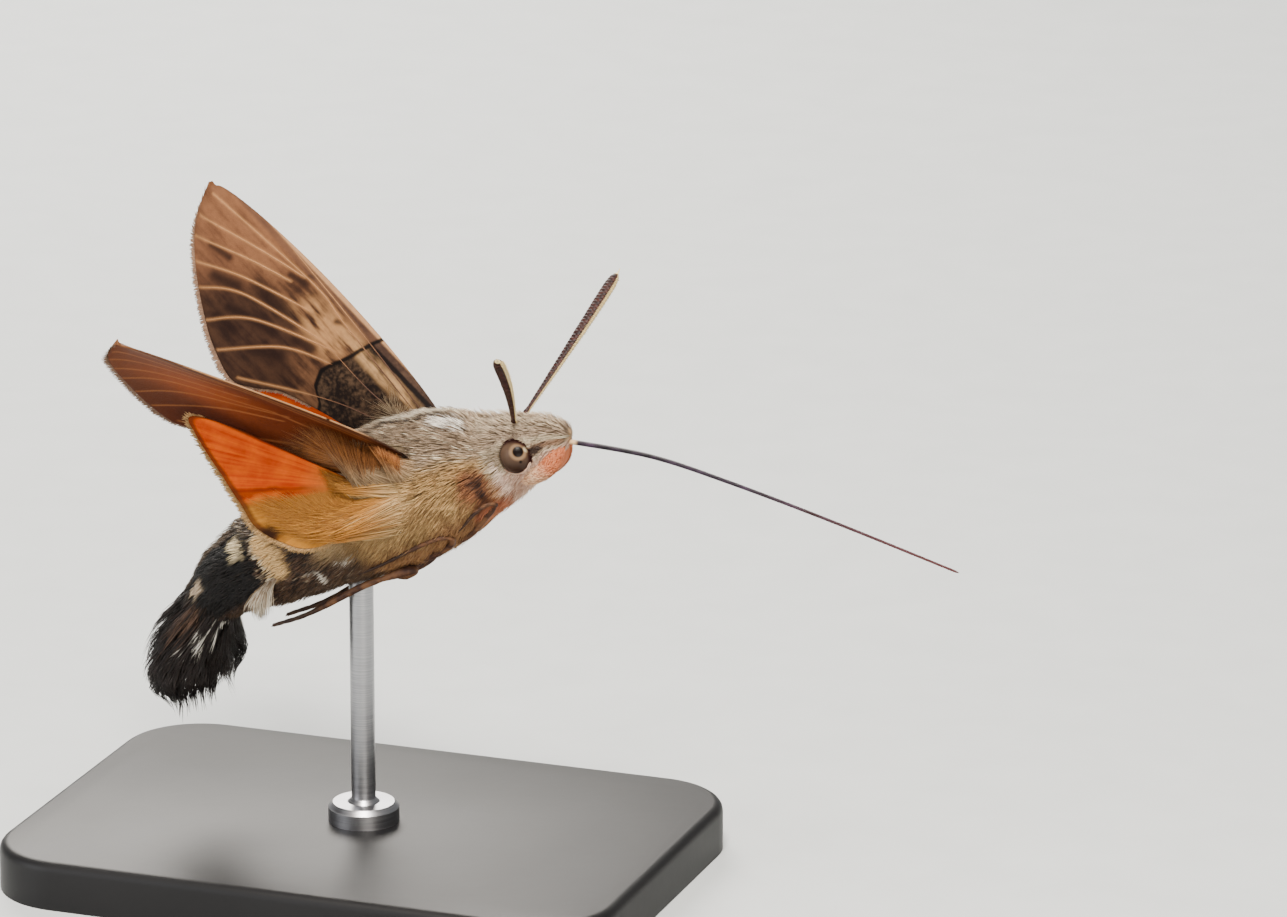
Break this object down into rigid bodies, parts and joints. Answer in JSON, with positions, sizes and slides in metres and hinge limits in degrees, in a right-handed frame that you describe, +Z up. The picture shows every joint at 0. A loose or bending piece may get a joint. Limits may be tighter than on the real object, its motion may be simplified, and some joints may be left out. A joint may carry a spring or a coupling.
{
  "type": "hummingbird hawk moth model on a stand",
  "caption": "Life-size still model of a hummingbird hawk moth hovering with its proboscis out, held by a rod on a flat base.",
  "frame": {"origin": "centre of the underside of the stand's base", "axes": "+X the way the moth heads, +Y its left side, +Z up"},
  "size_m": [0.0583, 0.0318, 0.0411],
  "materials": {
    "head_coat": "short grey-cream scales and hair",
    "thorax_coat": "grey-brown hair, golden cream below",
    "abdomen_coat": "dark brown scales with cream and white side tufts",
    "tail_coat": "black hair-scales with white patches",
    "pale_tuft": "cream-white hair-scales",
    "eye": "smooth glossy cornea, grey-brown",
    "palp": "dense flat salmon-pink scales",
    "proboscis": "dark grey-violet, satin",
    "antenna": "dark brown scales, cream front edge",
    "forewing": "powdery grey-brown scales, rust-brown below",
    "hindwing": "powdery orange scales, ochre base",
    "leg": "brown scaled",
    "stand_base": "satin black lacquer",
    "stand_rod": "brushed"
  },
  "bodies": {
    "root": {"abdomen_1": "abdomen_coat", "abdomen_2": "abdomen_coat", "abdomen_3": "abdomen_coat", "abdomen_4": "abdomen_coat", "abdomen_5": "abdomen_coat", "abdomen_6": "abdomen_coat", "antenna_left": "antenna", "antenna_right": "antenna", "eye_left": "eye", "eye_right": "eye", "forewing_left": "forewing", "forewing_right": "forewing", "head": "head_coat", "hindwing_left": "hindwing", "hindwing_right": "hindwing", "leg_front_left": "leg", "leg_front_right": "leg", "leg_hind_left": "leg", "leg_hind_right": "leg", "leg_middle_left": "leg", "leg_middle_right": "leg", "neck": "thorax_coat", "palp_left": "palp", "palp_right": "palp", "proboscis_end": "proboscis", "proboscis_middle": "proboscis", "proboscis_root": "proboscis", "side_tuft_left": "pale_tuft", "side_tuft_right": "pale_tuft", "stand_base": "stand_base", "stand_rod": "stand_rod", "tail_fan": "tail_coat", "thorax": "thorax_coat"}
  },
  "joints": []
}
